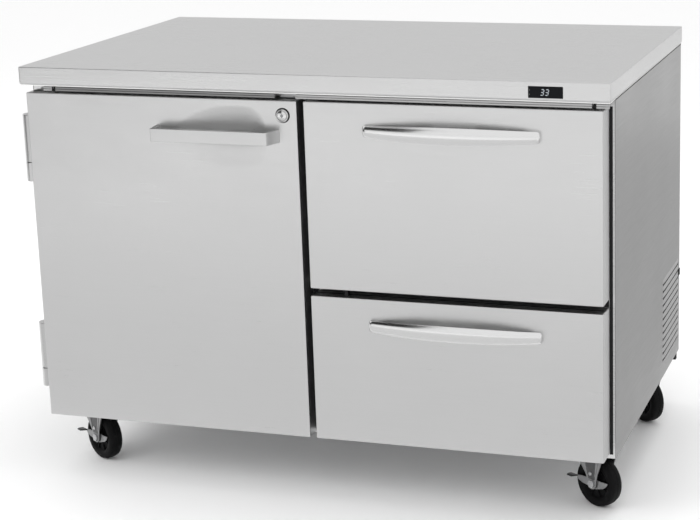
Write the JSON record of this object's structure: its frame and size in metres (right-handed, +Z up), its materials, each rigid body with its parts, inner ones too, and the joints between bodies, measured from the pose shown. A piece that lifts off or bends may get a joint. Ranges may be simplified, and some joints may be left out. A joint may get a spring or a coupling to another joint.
{
  "type": "undercounter refrigerator",
  "caption": "Stainless undercounter refrigerator with a flat worktop, a hinged door with a handle and lock, stacked drawers, a control display and swivel casters.",
  "frame": {"origin": "centre of the whole model's footprint, on the floor under the wheels", "axes": "+X along the width to the right as seen from the front, +Y from the door and drawers to the back, +Z up"},
  "size_m": [1.242, 0.799, 0.88],
  "materials": {
    "worktop_steel": "fine long grain along the width",
    "panel_steel": "brushed sheet",
    "front_steel": "brushed sheet",
    "handle_metal": "satin polished casting",
    "hinge_metal": "satin casting",
    "lock_chrome": "polished",
    "liner_aluminium": "satin anodised",
    "zinc_steel": "zinc plated",
    "caster_steel": "zinc plated stamping",
    "coil_aluminium": "finned block",
    "compressor_iron": "black painted",
    "black_paint": "black",
    "shelf_wire": "coated wire",
    "display_plastic": "black window",
    "fan_plastic": "black moulding",
    "gasket_rubber": "soft black seal",
    "wheel_rubber": "solid black wheel",
    "rigid_foam": "foamed in place insulation"
  },
  "bodies": {
    "cabinet": {"worktop": "worktop_steel", "worktop_core": "rigid_foam", "left_side_panel": "panel_steel", "right_side_panel": "panel_steel", "back_panel": "panel_steel", "rear_grille": "panel_steel", "base_pan": "panel_steel", "cabinet_insulation": "rigid_foam", "cabinet_liner": "liner_aluminium", "front_frame": "panel_steel", "display_module": "display_plastic", "lock_strike": "black_paint", "compressor": "compressor_iron", "condenser_coil": "coil_aluminium", "condenser_fan_shroud": "zinc_steel", "condensing_unit_tray": "zinc_steel", "evaporator_cover": "liner_aluminium", "evaporator_coil": "coil_aluminium", "wire_shelf": "shelf_wire", "left_shelf_ledge": "liner_aluminium", "right_shelf_ledge": "liner_aluminium", "upper_hinge_bracket": "hinge_metal", "lower_hinge_bracket": "hinge_metal", "drawer_rail_frame": "zinc_steel", "power_cord_gland": "fan_plastic", "left_caster_channel": "caster_steel", "right_caster_channel": "caster_steel"},
    "door": {"door_skin": "front_steel", "door_core": "rigid_foam", "door_gasket": "gasket_rubber", "door_handle": "handle_metal", "upper_hinge_leaf": "hinge_metal", "lower_hinge_leaf": "hinge_metal"},
    "lock": {"lock_cylinder": "lock_chrome"},
    "condenser_fan": {"condenser_fan_blade": "fan_plastic"},
    "evaporator_fan": {"evaporator_fan_blade": "fan_plastic"},
    "upper_drawer": {"upper_drawer_skin": "front_steel", "upper_drawer_core": "rigid_foam", "upper_drawer_gasket": "gasket_rubber", "upper_drawer_handle": "handle_metal", "upper_drawer_box": "liner_aluminium"},
    "upper_slides": {"upper_slide_left": "zinc_steel", "upper_slide_right": "zinc_steel"},
    "lower_drawer": {"lower_drawer_skin": "front_steel", "lower_drawer_core": "rigid_foam", "lower_drawer_gasket": "gasket_rubber", "lower_drawer_handle": "handle_metal", "lower_drawer_box": "liner_aluminium"},
    "lower_slides": {"lower_slide_left": "zinc_steel", "lower_slide_right": "zinc_steel"},
    "front_left_caster_fork": {"front_left_fork": "caster_steel"},
    "front_left_caster_wheel": {"front_left_wheel": "wheel_rubber"},
    "front_left_brake": {"front_left_brake_lever": "caster_steel"},
    "front_right_caster_fork": {"front_right_fork": "caster_steel"},
    "front_right_caster_wheel": {"front_right_wheel": "wheel_rubber"},
    "front_right_brake": {"front_right_brake_lever": "caster_steel"},
    "rear_left_caster_fork": {"rear_left_fork": "caster_steel"},
    "rear_left_caster_wheel": {"rear_left_wheel": "wheel_rubber"},
    "rear_right_caster_fork": {"rear_right_fork": "caster_steel"},
    "rear_right_caster_wheel": {"rear_right_wheel": "wheel_rubber"}
  },
  "joints": [
    {"name": "door_hinge", "type": "hinge", "parent": "cabinet", "child": "door", "pos_m": [-0.607, -0.3265, 0.4], "axis": [0, 0, -1], "range_deg": [0, 115]},
    {"name": "lock_turn", "type": "hinge", "parent": "door", "child": "lock", "pos_m": [-0.03, -0.3625, 0.799], "axis": [0, 1, 0], "range_deg": [0, 90]},
    {"name": "condenser_fan_spin", "type": "hinge", "parent": "cabinet", "child": "condenser_fan", "pos_m": [0.469, 0.2895, 0.2286], "axis": [1, 0, 0], "continuous": true},
    {"name": "evaporator_fan_spin", "type": "hinge", "parent": "cabinet", "child": "evaporator_fan", "pos_m": [-0.005, 0.2125, 0.62], "axis": [0, 1, 0], "continuous": true},
    {"name": "upper_drawer_slide", "type": "slide", "parent": "cabinet", "child": "upper_drawer", "axis": [0, -1, 0], "range_m": [0, 0.4]},
    {"name": "upper_slide_travel", "type": "slide", "parent": "cabinet", "child": "upper_slides", "axis": [0, -1, 0], "range_m": [0, 0.2]},
    {"name": "lower_drawer_slide", "type": "slide", "parent": "cabinet", "child": "lower_drawer", "axis": [0, -1, 0], "range_m": [0, 0.4]},
    {"name": "lower_slide_travel", "type": "slide", "parent": "cabinet", "child": "lower_slides", "axis": [0, -1, 0], "range_m": [0, 0.2]},
    {"name": "front_left_swivel", "type": "hinge", "parent": "cabinet", "child": "front_left_caster_fork", "pos_m": [-0.543, -0.2365, 0.108], "axis": [0, 0, 1], "continuous": true},
    {"name": "front_left_wheel_spin", "type": "hinge", "parent": "front_left_caster_fork", "child": "front_left_caster_wheel", "pos_m": [-0.531, -0.24371, 0.051], "axis": [0.515, 0.8572, 0], "continuous": true},
    {"name": "front_left_brake_press", "type": "hinge", "parent": "front_left_caster_fork", "child": "front_left_brake", "pos_m": [-0.531, -0.24371, 0.051], "axis": [-0.515, -0.8572, 0], "range_deg": [0, 16]},
    {"name": "front_right_swivel", "type": "hinge", "parent": "cabinet", "child": "front_right_caster_fork", "pos_m": [0.559, -0.2365, 0.108], "axis": [0, 0, 1], "continuous": true},
    {"name": "front_right_wheel_spin", "type": "hinge", "parent": "front_right_caster_fork", "child": "front_right_caster_wheel", "pos_m": [0.571, -0.24371, 0.051], "axis": [0.515, 0.8572, 0], "continuous": true},
    {"name": "front_right_brake_press", "type": "hinge", "parent": "front_right_caster_fork", "child": "front_right_brake", "pos_m": [0.571, -0.24371, 0.051], "axis": [-0.515, -0.8572, 0], "range_deg": [0, 16]},
    {"name": "rear_left_swivel", "type": "hinge", "parent": "cabinet", "child": "rear_left_caster_fork", "pos_m": [-0.543, 0.2655, 0.108], "axis": [0, 0, 1], "continuous": true},
    {"name": "rear_left_wheel_spin", "type": "hinge", "parent": "rear_left_caster_fork", "child": "rear_left_caster_wheel", "pos_m": [-0.5326, 0.25613, 0.051], "axis": [0.6691, 0.7431, 0], "continuous": true},
    {"name": "rear_right_swivel", "type": "hinge", "parent": "cabinet", "child": "rear_right_caster_fork", "pos_m": [0.559, 0.2655, 0.108], "axis": [0, 0, 1], "continuous": true},
    {"name": "rear_right_wheel_spin", "type": "hinge", "parent": "rear_right_caster_fork", "child": "rear_right_caster_wheel", "pos_m": [0.5694, 0.25613, 0.051], "axis": [0.6691, 0.7431, 0], "continuous": true}
  ],
  "couplings": [
    {"joint": "upper_slide_travel", "follows": "upper_drawer_slide", "ratio": 0.5},
    {"joint": "lower_slide_travel", "follows": "lower_drawer_slide", "ratio": 0.5}
  ]
}
